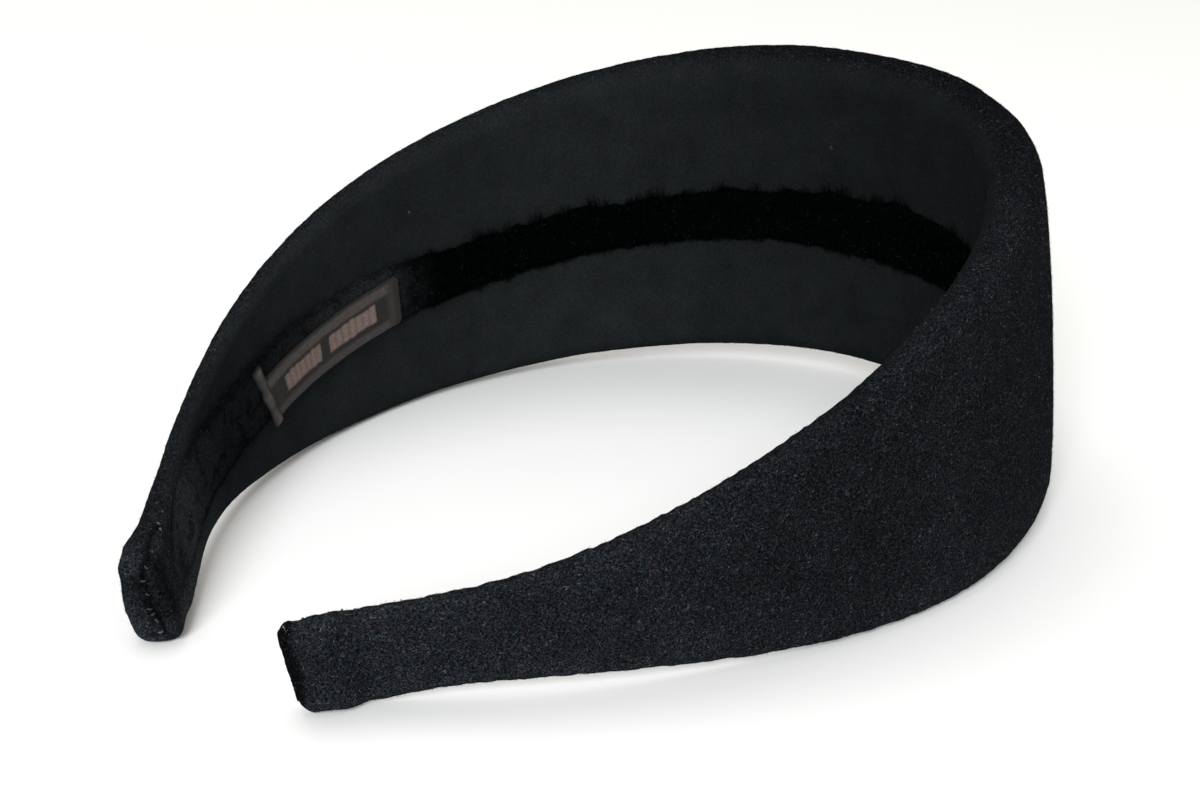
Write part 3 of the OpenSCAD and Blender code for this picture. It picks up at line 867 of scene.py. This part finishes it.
# Hand stitches over the seam of each tip: s, o, h of their middles
stitch_mat = fibre_material("sewing_thread", (0.010, 0.011, 0.012), (0.085, 0.090, 0.095))
STITCHES = [
    (180.7, -0.95, 6.60), (181.8, -0.95, 6.45), (189.8, 0.00, 5.80), (190.1, 0.85, 3.90), (190.1, 1.60, -0.60),
    (190.1, 1.50, -1.50), (190.1, 1.30, -2.60), (190.1, 1.30, -4.30), (186.5, -0.40, 6.55), (190.1, 1.10, 1.60)]
# the stitches listed here are pale as a painted glint on their thread
GLINT_STITCHES = (0, 1, 7)
flat_skin, flat_n = skin.reshape(-1, 3), skin_n.reshape(-1, 3)


def nearest(s, side, o, h):
    """The cover's point nearest to a place on an arm, and its normal."""
    at = np.argmin(((flat_skin - world(s, side, o, h)) ** 2).sum(-1))
    return flat_skin[at], flat_n[at]


rings, tones = [], []
for side in (1, -1):
    for k, (s0, o0, h0) in enumerate(STITCHES):
        mid, nrm = nearest(min(s0, LAST_S), side, o0, h0)
        d = np.cross(nrm, rng.normal(size=3) * 0.35 + np.array([0.2, -0.3 * side, 0.9]))
        d /= np.linalg.norm(d)
        u = np.linspace(-1, 1, 7)[:, None]
        half = 0.00024 + 0.00012 * rng.random()
        path = mid + d * u * half + nrm * (0.00016 * (1 - u * u) - 0.00005)
        rings.append(strand(path, 0.00011 + 0.00004 * rng.random()))
        tones.append((0.75 if k in GLINT_STITCHES else 0.22) + 0.15 * rng.random())
strands("tip_stitches", rings, stitch_mat, tones)

# Lint on the felt, a few pale specks: s, side, o, h. Those on the near tip are smaller and brighter
LINT = [
    (5.5, 1, -5.4, 12.8), (90.0, 1, -2.7, 14.0), (188.8, -1, 1.6, 6.75), (188.2, -1, 1.96, 6.81),
    (187.7, -1, 2.21, 6.77), (188.2, -1, 2.46, 6.57), (188.7, -1, 2.2, 6.67), (187.7, -1, 1.5, 6.98),
    (187.3, -1, 1.3, 7.05)]
roots, nms, shades, fine = [], [], [], []
for s0, side, o0, h0 in LINT:
    mid, nrm = nearest(s0, side, o0, h0)
    count, spread, brightest = (12, 0.0003, 0.5) if side > 0 else (5, 0.00018, 1.0)
    for k in range(count):
        roots.append(mid + spread * rng.normal(size=3))
        nms.append(nrm)
        shades.append(rng.random() * brightest)
        fine.append(side < 0)
lint_mat = fibre_material("lint", (0.10, 0.105, 0.11), (0.30, 0.31, 0.33))
length = np.where(fine, 0.12, 0.25), np.where(fine, 0.32, 0.5)
fibres("lint_specks", np.array(roots), np.array(nms), rng, length, (0.045, 0.08), (5, 60), lint_mat,
       np.array(shades))

# The camera stands where the photograph was taken from
cam = bpy.data.cameras.new("camera")
cam.sensor_width = 36.0
cam.lens = 62.22
cam.clip_start = 0.01
cam_o = bpy.data.objects.new("camera", cam)
right, down = (0.634028, -0.772416, 0.037172), (-0.246315, -0.247282, -0.937113)
ahead, eye = (0.733033, 0.585000, -0.347041), (-0.22891, -0.17976, 0.12479)
cam_o.matrix_world = Matrix([[right[i], -down[i], -ahead[i], eye[i]] for i in range(3)] + [[0, 0, 0, 1]])
bpy.context.scene.collection.objects.link(cam_o)
bpy.context.scene.camera = cam_o

# Floor and light
floor_mat, _, _, floor_bsdf = new_material("pale_floor")
floor_bsdf.inputs["Base Color"].default_value = (0.90, 0.90, 0.90, 1)
floor_bsdf.inputs["Roughness"].default_value = 0.9
FLOOR_HALF, FLOOR_Z = 6, -0.0002
corners = [(x * FLOOR_HALF, y * FLOOR_HALF, FLOOR_Z) for x, y in ((-1, -1), (1, -1), (1, 1), (-1, 1))]
floor = mesh_object("floor", corners, range(4), [0], floor_mat, smooth=False)
studio = bpy.data.worlds.new("studio")
bpy.context.scene.world = studio
studio.use_nodes = True
background = studio.node_tree.nodes["Background"]
background.inputs["Color"].default_value = (1.0, 0.972, 0.905, 1)
background.inputs["Strength"].default_value = 0.56


def lamp(name, place, target, size, power, colour=(1, 1, 1)):
    """A round area light that faces its target."""
    d = bpy.data.lights.new(name, "AREA")
    d.shape = "DISK"
    d.size = size
    d.energy = power
    d.color = colour
    o = bpy.data.objects.new(name, d)
    bpy.context.scene.collection.objects.link(o)
    z = np.array(place, float) - np.array(target, float)
    z /= np.linalg.norm(z)
    x = np.cross([0, 0, 1], z)
    x /= np.linalg.norm(x)
    y = np.cross(z, x)
    o.matrix_world = Matrix([[x[i], y[i], z[i], place[i]] for i in range(3)] + [[0, 0, 0, 1]])


lamp("key", (-2.36, -1.25, 1.36), (0, 0, 0.02), 1.2, 112.0, (0.95, 0.98, 1.0))
lamp("top", (-0.2, 0.6, 3.0), (0, 0, 0.02), 2.0, 20.0)

bpy.context.scene.view_settings.view_transform = "Standard"
